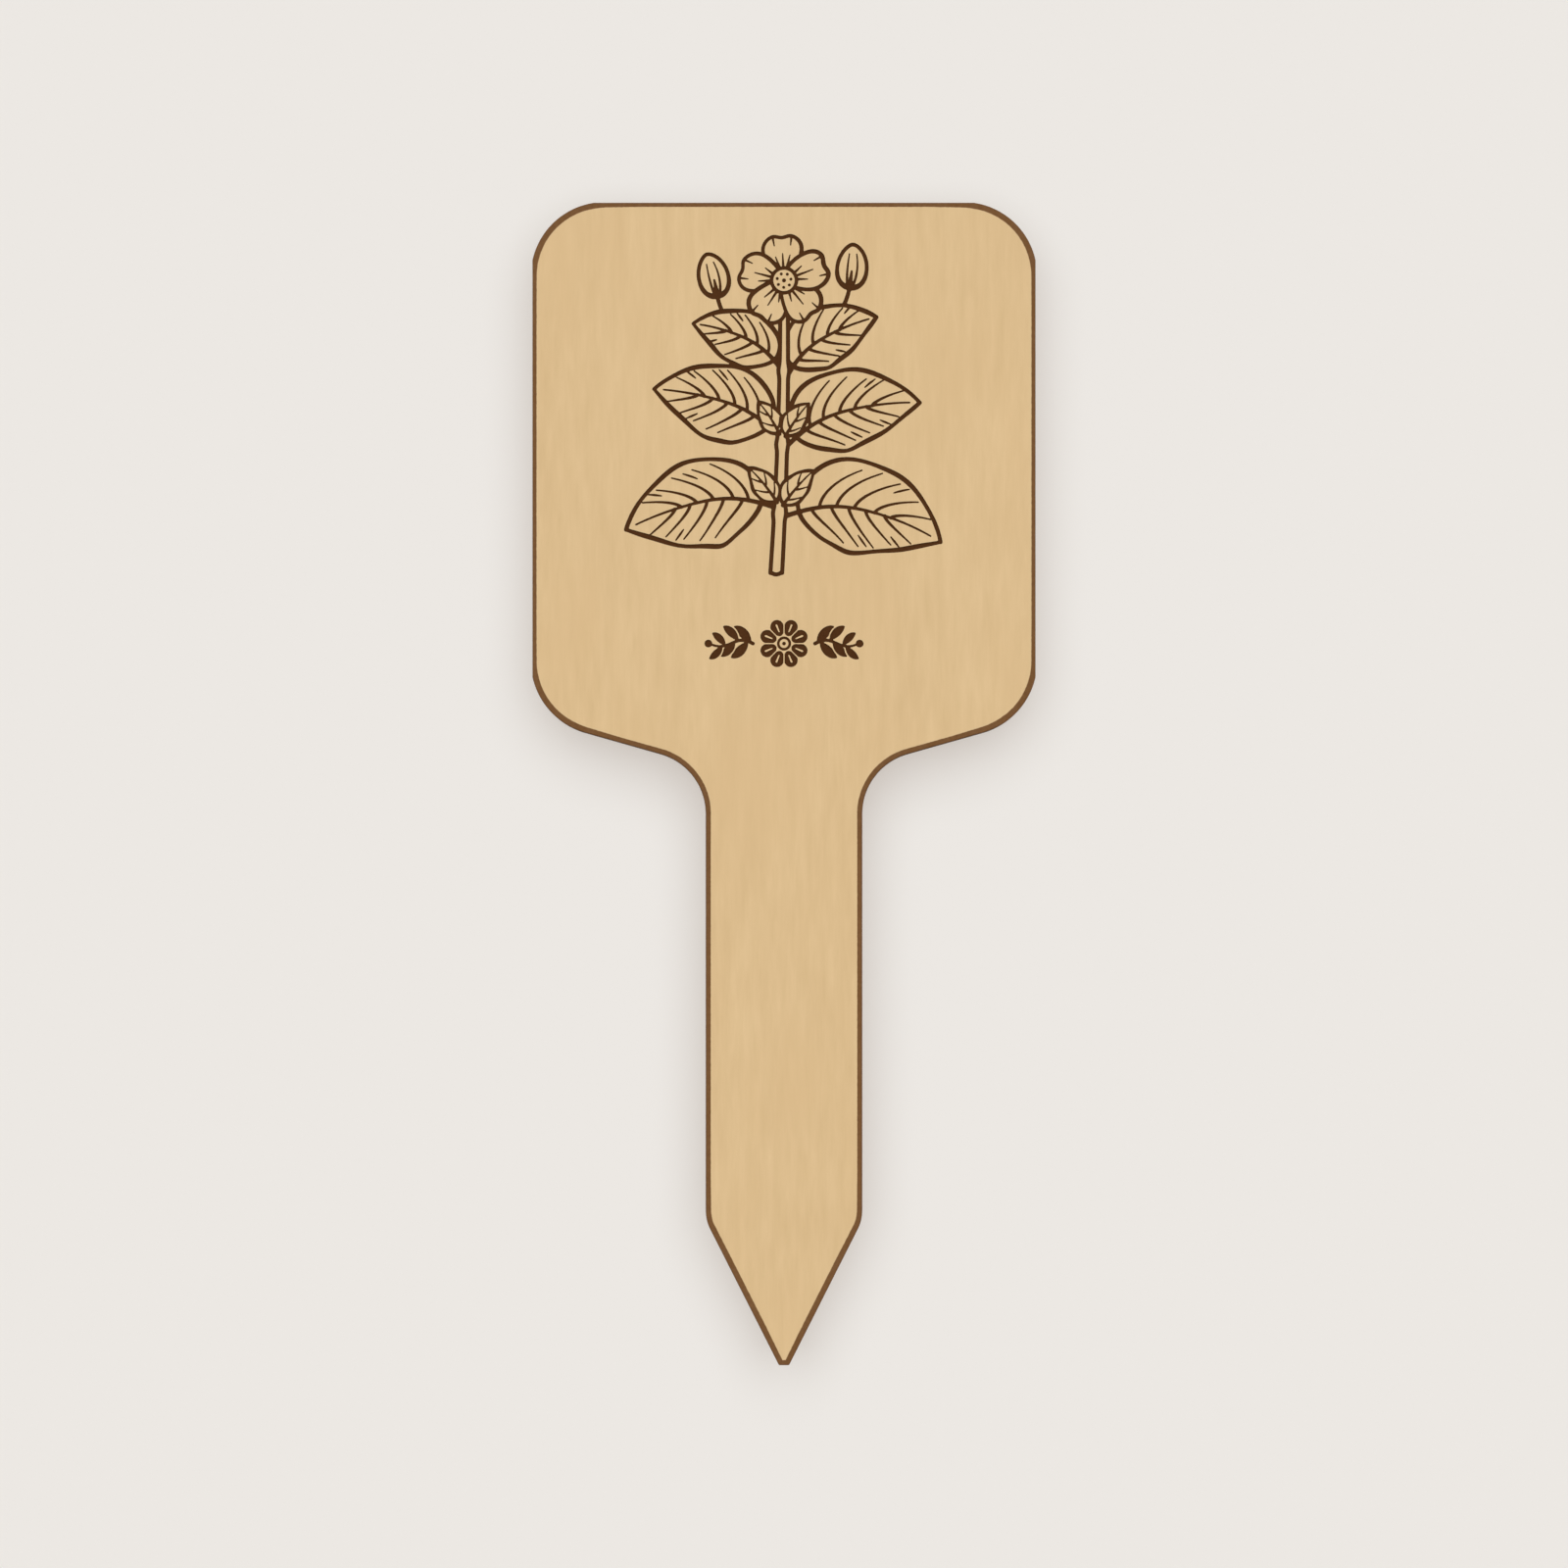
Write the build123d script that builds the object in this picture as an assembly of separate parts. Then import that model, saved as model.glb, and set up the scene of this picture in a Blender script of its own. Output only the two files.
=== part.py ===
from build123d import *

import os
from math import radians, tan

# Plant label stake: one blank of three-ply plywood, a rounded head on a flat stem with a point.
# Millimetres. +Z runs from the point to the head, the front face looks along -Y, and the origin
# is the middle of the point's blunt end, halfway through the sheet.
# The blank is drawn lying on its back, as it lies when it is cut out: X across, Y from the point
# to the head, Z up from its back to its front. It is stood up at the end.

# Outline of the back face, the larger one
overall_length = 150.0
head_width = 65.0
head_side_height = 66.5
head_corner_radius = 9.6
shoulder_slope = 15.8
stem_width = 20.3
neck_radius = 8.0
point_length = 18.7
point_corner_radius = 5.0
tip_width = 1.4
tip_corner_radius = 0.3

# The straight cuts down the head's sides and across its top stand this far inside the rounded outline,
# so its corner arcs meet them at a slight angle
side_trim = 0.22
top_trim = 0.1

# The sheet, from its front to its back
veneer_thickness = 0.75
glue_thickness = 0.1
core_thickness = 1.3

# The cut wall: the beam narrows on its way down, so the front face comes out a little smaller,
# and it burns the front edge round
cut_draft = 1.5
burnt_edge_radius = 0.15

# How far a slicing block reaches past the blank
overrun = 1.0

# Each layer's node name and thickness, from the back up
layers = [
    ("back_veneer", veneer_thickness),
    ("back_glue_line", glue_thickness),
    ("core_ply", core_thickness),
    ("front_glue_line", glue_thickness),
    ("front_veneer", veneer_thickness),
]
sheet_thickness = sum(thickness for name, thickness in layers)


def rounded_face():
    """The stake's rounded outline: its sharp corners up one side and mirrored down the other, each rounded."""
    head_half = head_width / 2 + side_trim
    stem_half = stem_width / 2
    tip_half = tip_width / 2
    shoulder_rise = tan(radians(shoulder_slope))
    shoulder_height = overall_length - head_side_height + side_trim * shoulder_rise
    neck_height = shoulder_height - (head_half - stem_half) * shoulder_rise
    corners = [
        (tip_half, 0, tip_corner_radius),
        (stem_half, point_length, point_corner_radius),
        (stem_half, neck_height, neck_radius),
        (head_half, shoulder_height, head_corner_radius),
        (head_half, overall_length + top_trim, head_corner_radius),
    ]
    corners += [(-x, y, radius) for x, y, radius in reversed(corners)]
    places = [(x, y) for x, y, radius in corners]
    radii = [radius for x, y, radius in corners]
    return make_face(FilletPolyline(*places, radius=radii, close=True))


def straight_cuts_face():
    """The rectangle that trims the head's sides and top. It runs past the point, which it leaves whole."""
    rectangle = Rectangle(head_width, overall_length + overrun, align=(Align.CENTER, Align.MIN))
    return Pos(0, -overrun) * rectangle


def cut_through(outline_face):
    """An outline cut through the sheet: drawn up from the back with the cut's draft, its front edge rounded."""
    blank = extrude(outline_face, amount=sheet_thickness, taper=cut_draft)
    front_face = blank.faces().sort_by(Axis.Z)[-1]
    return fillet(front_face.edges(), burnt_edge_radius)


def cut_blank():
    """The whole blank: what lies within both the rounded outline and the straight cuts."""
    return cut_through(rounded_face()) & cut_through(straight_cuts_face())


def layer_of(blank, bottom, thickness):
    """The slice of the blank that is one layer, from the height of its bottom face."""
    block = Box(
        head_width + 2 * overrun,
        overall_length + 2 * overrun,
        thickness,
        align=(Align.CENTER, Align.CENTER, Align.MIN),
    )
    return blank & Pos(0, overall_length / 2, bottom) * block


def stand_up(piece):
    """A piece turned from lying on its back to standing on the point, centred through the sheet."""
    return Rot(90, 0, 0) * Pos(0, 0, -sheet_thickness / 2) * piece


def main():
    os.makedirs("parts", exist_ok=True)
    blank = cut_blank()
    bottom = 0
    for name, thickness in layers:
        piece = stand_up(layer_of(blank, bottom, thickness))
        export_step(piece, f"parts/{name}.step")
        bottom += thickness


main()
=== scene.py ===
import bpy
import numpy as np
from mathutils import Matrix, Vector
from mathutils.geometry import delaunay_2d_cdt


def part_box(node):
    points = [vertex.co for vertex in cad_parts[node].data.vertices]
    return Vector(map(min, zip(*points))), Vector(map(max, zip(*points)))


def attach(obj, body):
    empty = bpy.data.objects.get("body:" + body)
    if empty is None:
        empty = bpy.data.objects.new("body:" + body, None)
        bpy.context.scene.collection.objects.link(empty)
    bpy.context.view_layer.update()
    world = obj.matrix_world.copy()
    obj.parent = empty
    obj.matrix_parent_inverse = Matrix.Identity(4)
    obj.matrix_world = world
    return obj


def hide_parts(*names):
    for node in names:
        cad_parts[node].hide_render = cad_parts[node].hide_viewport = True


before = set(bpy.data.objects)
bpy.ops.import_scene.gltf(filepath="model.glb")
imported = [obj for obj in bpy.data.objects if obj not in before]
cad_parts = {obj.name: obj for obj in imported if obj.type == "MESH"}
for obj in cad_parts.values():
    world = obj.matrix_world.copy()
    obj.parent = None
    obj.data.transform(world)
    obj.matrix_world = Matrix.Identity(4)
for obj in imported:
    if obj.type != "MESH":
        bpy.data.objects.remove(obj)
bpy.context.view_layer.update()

# Plant label stake: three plies of wood, cut out and engraved by a laser.
# The stake stands on its point: x runs across the head, z up from the point's blunt end,
# and y from the engraved front face to the plain back face.
# Shapes are worked out in millimetres.
MM = 0.001

# What the frame says of the blank
back_low, back_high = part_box("back_veneer")
front_low, front_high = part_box("front_veneer")
head_width = (back_high.x - back_low.x) / MM
overall_length = (back_high.z - back_low.z) / MM
front_y = front_low.y / MM
front_seam_y = front_high.y / MM
back_seam_y = back_low.y / MM
back_y = back_high.y / MM

# The outline's own sizes, at the back face
head_side_height = 66.5
head_corner_radius = 9.6
shoulder_slope = np.radians(15.8)
stem_width = 20.3
neck_radius = 8.0
point_length = 18.7
point_corner_radius = 5.0
tip_width = 1.4
tip_corner_radius = 0.3
least_radius = 0.02

# The straight cuts down the head's sides and across its top, inside the rounded outline
side_trim = 0.22
top_trim = 0.1

# The cut wall leans in towards the front, and its front edge is burnt round
cut_slope = np.tan(np.radians(1.5))
burnt_edge_radius = 0.15
back_edge_radius = 0.05

# How finely the outline is divided
arc_step = np.radians(3.0)
trim_steps = 4
straight_step = 1.0
front_edge_steps = 6
back_edge_steps = 3

# The scorched band's width from the tip up: at each corner and along the side after it. Each width is
# averaged over so many points of the outline
corner_band_widths = [0.74, 0.80, 0.74, 0.86, 0.86]
side_band_widths = [0.85, 0.71, 0.72, 0.83, 0.72]
blunt_end_band = 0.72
band_smoothing = 9

# Rings of points over each face carry the band: the first one's way in from the rounded edge, and the
# others' insets from the outline. All points farther in have one share of the way over the band
first_ring = 0.02
front_rings = [0.45, 0.65, 0.8]
back_rings = [0.25, 0.5, 0.75]
last_ring = 1.0
share_far_inside = 2.0

# Faces that meet at more than this show an edge
sharp_angle = np.radians(32)

# The engraving's depth, and the square grid over the head that it is worked out on
groove_depth = 0.22
cell = 0.1
grid_half_width = 22.0
grid_bottom = 88.0
grid_top = 148.0
# Distances are worked out up to this far from a line, along so many of its pieces at a time
far = 0.6
line_run = 10
ring_steps = 48
# No grid place is nearer to a line's edge than this share of a cell, so that no sliver is cut
least_share = 0.06
# What the dividing of a flat face keeps, how near two points are one, and the least squared length
triangles_inside = 1
one_place = 1e-7
no_length = 1e-12
# The bare gap round a shape that is drawn in front of others
line_gap = 0.1


def half_outline():
    """One side's sharp corners from the tip up, as x, z and radius.

    The shoulder falls by its slope's tangent times the way from the head's side to the stem's."""
    head_half = head_width / 2 + side_trim
    stem_half = stem_width / 2
    shoulder_rise = np.tan(shoulder_slope)
    shoulder_height = overall_length - head_side_height + side_trim * shoulder_rise
    neck_height = shoulder_height - (head_half - stem_half) * shoulder_rise
    return [
        (tip_width / 2, 0, tip_corner_radius),
        (stem_half, point_length, point_corner_radius),
        (stem_half, neck_height, neck_radius),
        (head_half, shoulder_height, head_corner_radius),
        (head_half, overall_length + top_trim, head_corner_radius),
    ]


right_corners = np.array(half_outline())
corners = np.vstack([right_corners, right_corners[::-1] * [-1, 1, 1]])
corner_places = corners[:, :2]
corner_radii = corners[:, 2]
corner_bands = np.array(corner_band_widths + corner_band_widths[::-1])

# The sides after the corners, counter-clockwise: the last one is the point's blunt end
side_bands = np.array(side_band_widths + side_band_widths[-2::-1] + [blunt_end_band])
trims_after = np.array([0, 0, 0, side_trim, top_trim, side_trim, 0, 0, 0, 0])
trims_before = np.roll(trims_after, 1)


def columns(*values):
    """Values side by side, as the columns of a table."""
    return np.stack(values, axis=-1)


def way_at(angle):
    """The unit vector at an angle from x towards z: (cos a, sin a)."""
    return columns(np.cos(angle), np.sin(angle))


def unit(vectors):
    """Each row divided by its length."""
    return vectors / np.linalg.norm(vectors, axis=1)[:, None]


def left_of(vectors):
    """Each row turned a quarter turn to the left."""
    return columns(-vectors[:, 1], vectors[:, 0])


way_in = unit(corner_places - np.roll(corner_places, 1, axis=0))
way_out = unit(np.roll(corner_places, -1, axis=0) - corner_places)
normal_in = left_of(way_in)
normal_out = left_of(way_out)
corner_spread = (normal_in + normal_out) / (1 + (normal_in * normal_out).sum(axis=1))[:, None]
corner_turn = np.arctan2((normal_in * way_out).sum(axis=1), (way_in * way_out).sum(axis=1))
corner_sense = np.sign(corner_turn)
arc_counts = np.ceil(np.abs(corner_turn) / arc_step).astype(int) + 1


def corner_arcs(inset):
    """Arc centres and radii with every side moved inwards by the inset.

    A corner P moves to P + t (n1 + n2) / (1 + n1.n2), n1 and n2 being its sides' inward normals. Its arc's
    centre lies as far again as its radius, inside a bulging corner and outside the neck's hollow one. The
    tip's small radii stop shrinking at the least one."""
    radii = np.maximum(corner_radii - corner_sense * inset, least_radius)
    centres = corner_places + corner_spread * (inset + corner_sense * radii)[:, None]
    return centres, radii


def arc_ends(centres, radii):
    """Where each arc starts and ends: its centre less the two sides' normals times its radius."""
    reach = (corner_sense * radii)[:, None]
    return centres - normal_in * reach, centres - normal_out * reach


def arc_angles(k, radius):
    """The angles along a corner's arc, from 0 to its turn.

    A straight cut meets it at arccos(1 - trim / radius) from one end. The arc is divided evenly between
    such places, and each trimmed end by itself."""
    lead_in = np.arccos(1 - trims_before[k] / radius)
    lead_out = np.arccos(1 - trims_after[k] / radius)
    turn = abs(corner_turn[k])
    runs = [np.linspace(lead_in, turn - lead_out, arc_counts[k])]
    if lead_in > 0:
        runs.insert(0, np.linspace(0, lead_in, trim_steps, endpoint=False))
    if lead_out > 0:
        runs.append(turn - np.linspace(0, lead_out, trim_steps, endpoint=False)[::-1])
    return corner_sense[k] * np.concatenate(runs)


first_places, last_places = arc_ends(*corner_arcs(0))
straight_lengths = np.linalg.norm(np.roll(first_places, -1, axis=0) - last_places, axis=1)
straight_counts = np.ceil(straight_lengths / straight_step).astype(int)


def rounded_outline(inset):
    """The rounded outline moved inwards by the inset, always with the same number of points.

    An arc is centre + radius (cos a, sin a), and a straight is divided evenly."""
    centres, radii = corner_arcs(inset)
    starts, ends = arc_ends(centres, radii)
    runs = []
    for k in range(len(corners)):
        first = -corner_sense[k] * normal_in[k]
        angles = np.arctan2(first[1], first[0]) + arc_angles(k, radii[k])
        runs.append(centres[k] + radii[k] * way_at(angles))
        next_start = starts[(k + 1) % len(corners)]
        share = np.linspace(0, 1, straight_counts[k] + 1)[1:-1, None]
        runs.append(ends[k] + (next_start - ends[k]) * share)
    return np.vstack(runs)


def outline(inset):
    """The blank's outline moved inwards by the inset, and how far its straight cuts trim each point.

    The cuts hold x between the head's two sides and z under its top."""
    rounded = rounded_outline(inset)
    limit = np.array([head_width / 2, overall_length]) - inset
    trimmed = np.clip(rounded, -limit, limit)
    return trimmed, np.abs(rounded - trimmed).max(axis=1)


def band_widths():
    """The scorched band's width at each point of the outline, averaged over its neighbours."""
    arc_points = [len(arc_angles(k, corner_radii[k])) for k in range(len(corners))]
    counts = columns(arc_points, straight_counts - 1)
    widths = np.repeat(columns(corner_bands, side_bands).ravel(), counts.ravel())
    half = band_smoothing // 2
    wrapped = np.concatenate([widths[-half:], widths, widths[:half]])
    return np.convolve(wrapped, np.full(band_smoothing, 1 / band_smoothing), mode="valid")


# How many points the drawing's lines have
midline_points = 121
margin_points = 140
midrib_points = 80
vein_points = 30
tick_points = 10
petal_points = 121
petal_line_points = 16
bud_points = 61
stem_points = 90
stem_foot_points = 9
rosette_points = 40
twig_points = 80
twig_leaflet_points = 41

# Half the widths of the sprig's lines, and by how much some of them swing, thin out or swell on their way
margin_line = 0.295
margin_line_swing = 0.035
margin_line_thinning = 0.04
stalk_line = 0.34
midrib_thinning = 0.22
bud_stalk_thinning = 0.08
vein_line = 0.225
vein_thinning = 0.12
tick_line = 0.09
tick_swell = 0.06
petal_line = 0.265
petal_line_swing = 0.035
foot_line = 0.19
foot_line_thinning = 0.11
tip_line = 0.15
tip_line_thinning = 0.07
bud_line = 0.25
stem_line = 0.27
disc_line = 0.23

# A leaf's half width is a swelling with these powers, a little fuller on its left side
leaf_powers = (0.6, 0.95)
left_fullness = 0.05
# Its edge swings by a share of that width, in so many waves, which calm down over shares of the blade at
# its foot and its tip. Its line swings in waves of its own, and thins over the blade's last share
edge_swing = 0.026
edge_waves = 2.4
foot_calm = 0.2
tip_calm = 0.25
line_waves = 2.2
thin_tip = 0.1

# Shares of a leaf's midrib: how far its lift lasts, how far its line goes, and what of it is stalk
lift_share = 0.55
midrib_share = 0.93
leaf_stalk = 0.1
leaflet_stalk = 0.04
# Shares of its blade: where its first vein may leave the midrib, the stretch over which they all do, and
# how far each runs forward
first_vein = 0.07
vein_stretch = 0.62
vein_run = 0.24
# Shares of the way from one vein to the next: the first one's start, how far the left ones are ahead, and
# how far each may stray
vein_start = 0.15
left_vein_lead = 0.4
vein_stray = 0.08
# How far a vein reaches over half the leaf, and how much less or more it may reach
vein_reach = 0.84
reach_stray = (-0.06, 0.04)
# A tick has this part of its vein's way, and stands ahead of it by a share of the blade that is divided by
# the number of veins. Only a leaf with at least so many veins on a side has ticks
tick_part = (0.66, 0.94)
tick_lead = 0.4
least_veins_with_ticks = 4
# A leaf's lines are as bold as this share and its length over this one together, and at most 1
finest_share = 0.55
bold_length = 30

# A petal's notch, as a share of half its length and an angle about its middle, its waves, half the share
# that its foot is drawn in by, and the greatest turn that a wave starts at
notch_share = 0.16
notch_angle = 0.3
petal_wave_share = 0.04
petal_waves = 3
foot_drawn_in = 0.26
most_wave_turn = 6
# The lines from a petal's foot: how far each spreads, where it starts and ends on the petal's length, how
# much sooner it ends for its spread, how far its end may stray, and how far aside it lies: a share of the
# petal's width, of which it has the first part at its start and opens by the rest
foot_spreads = (-0.42, 0.0, 0.42)
foot_line_start = 0.26
foot_line_end = 0.62
foot_line_shortening = 0.3
foot_line_stray = 0.05
foot_line_aside = 0.36
foot_line_first_part = 0.45
foot_line_opening = 0.55
# The lines from a petal's tip: how far each spreads, where it starts, how much lower for its spread, its
# length, and how far aside it lies and by how much it closes
tip_spreads = (-0.32, 0.3)
tip_line_start = 0.93
tip_line_lowering = 0.09
tip_line_length = 0.15
tip_line_aside = 0.62
tip_line_closing = 0.12

# A bud is a swelling with these powers. Its folds and sepals: how far each leans aside, the part of the
# bud's points that it has, and half its line's width at both ends
bud_length = 5.6
bud_width = 3.8
bud_bend = 12
bud_powers = (0.5, 0.62)
bud_folds = ((-0.36, 0.3), slice(4, 48), (0.19, 0.09))
bud_sepals = ((1.07, -1.07, 0.0), slice(0, 24), (0.38, 0.14))

# The sprig stands on a slightly bent stem, which closes up towards its top and swells at three forks.
# Leaves start just off its middle, and leaflets and buds at a share of that. Headings, lifts, droops and
# bends are in degrees
stem_foot = 102.2
stem_top = 136.5
stem_half_width = 0.76
stem_closing = 0.28
stem_forks = (109.9, 118.8, 128.3)
fork_swell = 0.15
fork_spread = 0.7
foot_half_width = 0.6
foot_drop = 0.2
foot_side = 0.45
leaflet_side_share = 0.8
bud_side_share = 0.6
# Its middle's bow: the height that it is counted over, where it starts, its slope and its bend
bow_height = 35.0
bow_start = -1.0
bow_slope = 2.2
bow_bend = 1.2

# Each large leaf, from back to front: its foot's height and side, heading, length, width, seed, lift,
# droop and how many veins each side has
large_leaves = [
    (128.6, -1, 148, 13.0, 7.0, 21, -20, 26, 4),
    (127.6, 1, 37, 14.2, 7.6, 22, 22, -24, 4),
    (119.9, -1, 157, 17.6, 9.8, 4, -20, 20, 5),
    (118.4, 1, 22, 18.8, 10.2, 5, 22, -24, 5),
    (110.6, -1, 186, 20.2, 11.4, 6, -24, 22, 5),
    (109.4, 1, -3, 21.4, 11.8, 7, 22, -30, 5),
]

# Each leaflet: its foot's height and side, heading, length and width
leaflets = [
    (120.1, -1, 118, 5.0, 2.8),
    (119.8, 1, 60, 5.2, 2.9),
    (111.3, -1, 124, 5.8, 3.1),
    (110.9, 1, 54, 6.0, 3.2),
]
leaflet_droop = 14
leaflet_veins = 2

# Each bud's stalk: its foot's height and side, heading, droop and length
bud_stalks = [
    (130.2, -1, 162, -62, 11.9),
    (131.0, 1, 20, 61, 12.0),
]

flower_centre = np.array([0.0, 139.9])
petal_headings = (93, 165, 237, 309, 21)
petal_length = 6.0
petal_width = 6.2
first_petal_seed = 40
disc_radius = 1.6
dot_ring_radius = 0.9
dot_headings = np.arange(10, 370, 51.5)
dot_radius = 0.2
middle_dot_radius = 0.26

# The small ornament below the sprig. Its rosette has petals, slits down them and bare gaps between them:
# how far out each starts, its length and half its width, and by how much slits and gaps widen outwards
ornament_centre = np.array([0.0, 93.1])
rosette_petals = 8
rosette_petal_start = 1.05
rosette_petal_length = 2.17
rosette_petal_half_width = 0.88
rosette_petal_powers = (0.62, 0.5)
slit_start = 1.65
slit_length = 0.9
slit_half_width = 0.08
slit_widening = 0.04
gap_start = 1.3
gap_length = 2.2
gap_half_width = 0.06
gap_widening = 0.03
rosette_ring_radius = 0.74
rosette_ring_line = 0.17
rosette_dot_radius = 0.24

# Its twigs: each has a wave that calms down outwards, a line that thins, and a berry on its end
twig_start = 4.0
twig_length = 5.7
twig_wave = 0.45
twig_calming = 0.25
twig_line = 0.24
twig_thinning = 0.1
berry_place = 9.75
berry_radius = 0.5
# Pairs of leaflets, as shares of a twig: the first one's place, the way to the next, and how far the lower
# leaflet is ahead. Then a leaflet's angle off the twig and its size, of which each next pair has less
twig_pairs = 3
first_pair = 0.04
pair_step = 0.29
lower_lead = 0.07
twig_leaflet_angle = 54
twig_leaflet_droop = 26
twig_leaflet_length = 3.1
twig_leaflet_shortening = 0.35
twig_leaflet_half_width = 0.62
twig_leaflet_narrowing = 0.07
twig_leaflet_powers = (0.9, 0.8)
leaflet_gap = 0.16

# The grid's columns and rows
across = np.arange(-grid_half_width, grid_half_width + cell / 2, cell)
up = np.arange(grid_bottom, grid_top + cell / 2, cell)


def ease(t):
    """0 to 1 with level ends: 3 t^2 - 2 t^3."""
    t = np.clip(t, 0, 1)
    return t * t * (3 - 2 * t)


def swelling(u, base, tip):
    """0 at both ends and 1 where it is widest: u^base (1 - u)^tip, divided by its greatest value."""
    widest = base / (base + tip)
    greatest = widest**base * (1 - widest) ** tip
    return np.clip(u, 0, 1) ** base * np.clip(1 - u, 0, 1) ** tip / greatest


def heading_way(degrees):
    """The unit vector at that many degrees from x towards z, and the one to its left."""
    way = way_at(np.radians(degrees))
    return way, np.array([-way[1], way[0]])


def along(count):
    """So many shares of a way, evenly from 0 to 1."""
    return np.linspace(0, 1, count)


def midline(start, heading, lift, droop, length, steps=midline_points):
    """A bent line: it leaves the start lifted off its heading, comes to it, then droops with s^1.5.

    Its places are the running sum of steps along its angle. The shares s of its length, the places and the
    normals to the left come back."""
    share = along(steps)
    lifted = 1 - ease(share / lift_share)
    way = way_at(np.radians(heading + lift * lifted + droop * share**1.5))
    moves = (way[1:] + way[:-1]) / 2 * length / (steps - 1)
    places = np.vstack([[0, 0], np.cumsum(moves, axis=0)]) + start
    return share, places, left_of(way)


def beside(line, at, off):
    """Places at shares of a bent line's length, moved off to its left."""
    share, places, normals = line
    x, z, normal_x, normal_z = [np.interp(at, share, values) for values in (*places.T, *normals.T)]
    return columns(x, z) + columns(normal_x, normal_z) * off[:, None]


def widened(places, offs):
    """The outline of a shape that lies alike on both sides of its middle line."""
    return np.vstack([places + offs, (places - offs)[::-1]])


def outlined(edge, half_line):
    """A shape with an even line round it."""
    return edge, [(edge, np.full(len(edge), half_line))]


def half_leaf(u, width, side):
    """Half a leaf's width along its blade: a swelling, a little fuller on its left side."""
    return swelling(u, *leaf_powers) * width / 2 * (1 + left_fullness * side)


def leaf_margin(width, side, bold, rng):
    """One side of a leaf's outline: shares of the blade, how far off it lies, and half its line's width.

    Both swing in slow waves. The edge's waves calm down at its ends, and the line thins at the tip."""
    u = along(margin_points)
    calm = ease(u / foot_calm) * ease((1 - u) / tip_calm)
    waves = 1 + edge_swing * np.sin(2 * np.pi * (edge_waves * u + rng.uniform())) * calm
    slow = margin_line_swing * np.sin(2 * np.pi * (line_waves * u + rng.uniform()))
    half_line = bold * (margin_line + slow) - margin_line_thinning * (1 - ease((1 - u) / thin_tip))
    return u, side * half_leaf(u, width, side) * waves, half_line


def leaf_vein(root, reach, t):
    """Part of a vein: it runs forward from its root as t^1.3 while it runs out to its reach as t^0.85."""
    return root + vein_run * t**1.3, reach * t**0.85


def leaf_veins(width, side, veins, bold, rng):
    """The veins on one side of a leaf, and a short tick after some of them, as lines beside its midrib.

    The two sides' veins take turns. A vein reaches over a share of the half width where it ends."""
    lines = []
    left = side > 0
    for k in range(veins):
        turn = k + vein_start + left_vein_lead * left
        root = first_vein + vein_stretch * (turn + rng.uniform(-vein_stray, vein_stray)) / veins
        end_width = half_leaf(np.array(root + vein_run), width, side)
        reach = side * (end_width * (vein_reach + rng.uniform(*reach_stray)))
        t = along(vein_points)
        lines.append((*leaf_vein(root, reach, t), bold * (vein_line - vein_thinning * t)))
        if veins >= least_veins_with_ticks and 0 < k < veins - 1 and (k + left) % 2:
            swell = tick_swell * np.sin(np.pi * along(tick_points))
            t = np.linspace(*tick_part, tick_points)
            lines.append((*leaf_vein(root + tick_lead / veins, reach, t), tick_line + swell))
    return lines


def leaf(start, heading, length, width, seed, lift, droop, veins, stalk):
    """A leaf: its outline, and the lines drawn on it as (points, half widths).

    Its blade is what its stalk leaves of the midrib, whose line thins with t^0.8."""
    rng = np.random.default_rng(seed)
    midrib = midline(start, heading, lift, droop, length)
    bold = min(1.0, finest_share + length / bold_length)
    margins = []
    weights = []
    lines = []
    for side in (1, -1):
        u, off, weight = leaf_margin(width, side, bold, rng)
        margins.append(beside(midrib, stalk + (1 - stalk) * u, off))
        weights.append(weight)
        for u, off, weight in leaf_veins(width, side, veins, bold, rng):
            lines.append((beside(midrib, stalk + (1 - stalk) * u, off), weight))
    edge = np.vstack([margins[0], margins[1][::-1]])
    lines.append((edge, np.concatenate([weights[0], weights[1][::-1]])))
    t = along(midrib_points)
    lines.append((beside(midrib, midrib_share * t, 0 * t), bold * (stalk_line - midrib_thinning * t**0.8)))
    return edge, lines


def petal(centre, heading, reach, width, seed):
    """A petal: an oval from the flower's centre, drawn in at its foot and notched at its tip.

    At the angle p about its middle it lies (1 + cos p (1 - notch)) reach / 2 out and width sin p / 2
    aside. Short lines spread from its foot, and two more run in from its tip."""
    rng = np.random.default_rng(seed)
    way, normal = heading_way(heading)

    def place(out, aside):
        return centre + np.outer(out, way) + np.outer(aside, normal)

    p = np.linspace(-np.pi, np.pi, petal_points)
    notch = notch_share * np.exp(-((p / notch_angle) ** 2))
    out = reach / 2 * (1 + np.cos(p) * (1 - notch))
    waves = 1 + petal_wave_share * np.sin(petal_waves * p + rng.uniform(0, most_wave_turn))
    drawn_in = 1 - foot_drawn_in + foot_drawn_in * np.cos(p)
    edge = place(out, width / 2 * np.sin(p) * drawn_in * waves)
    swing = petal_line_swing * np.sin(p + rng.uniform(0, most_wave_turn))
    lines = [(edge, petal_line + swing)]
    t = along(petal_line_points)
    for spread in foot_spreads:
        stray = rng.uniform(-foot_line_stray, foot_line_stray)
        end = foot_line_end - foot_line_shortening * abs(spread) + stray
        from_foot = reach * (foot_line_start + (end - foot_line_start) * t)
        aside = spread * width * foot_line_aside * (foot_line_first_part + foot_line_opening * t)
        lines.append((place(from_foot, aside), foot_line - foot_line_thinning * t))
    for spread in tip_spreads:
        from_tip = reach * (tip_line_start - tip_line_lowering * abs(spread) - tip_line_length * t)
        aside = spread * width * tip_line_aside * (1 - tip_line_closing * t)
        lines.append((place(from_tip, aside), tip_line - tip_line_thinning * t))
    return edge, lines


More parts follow.
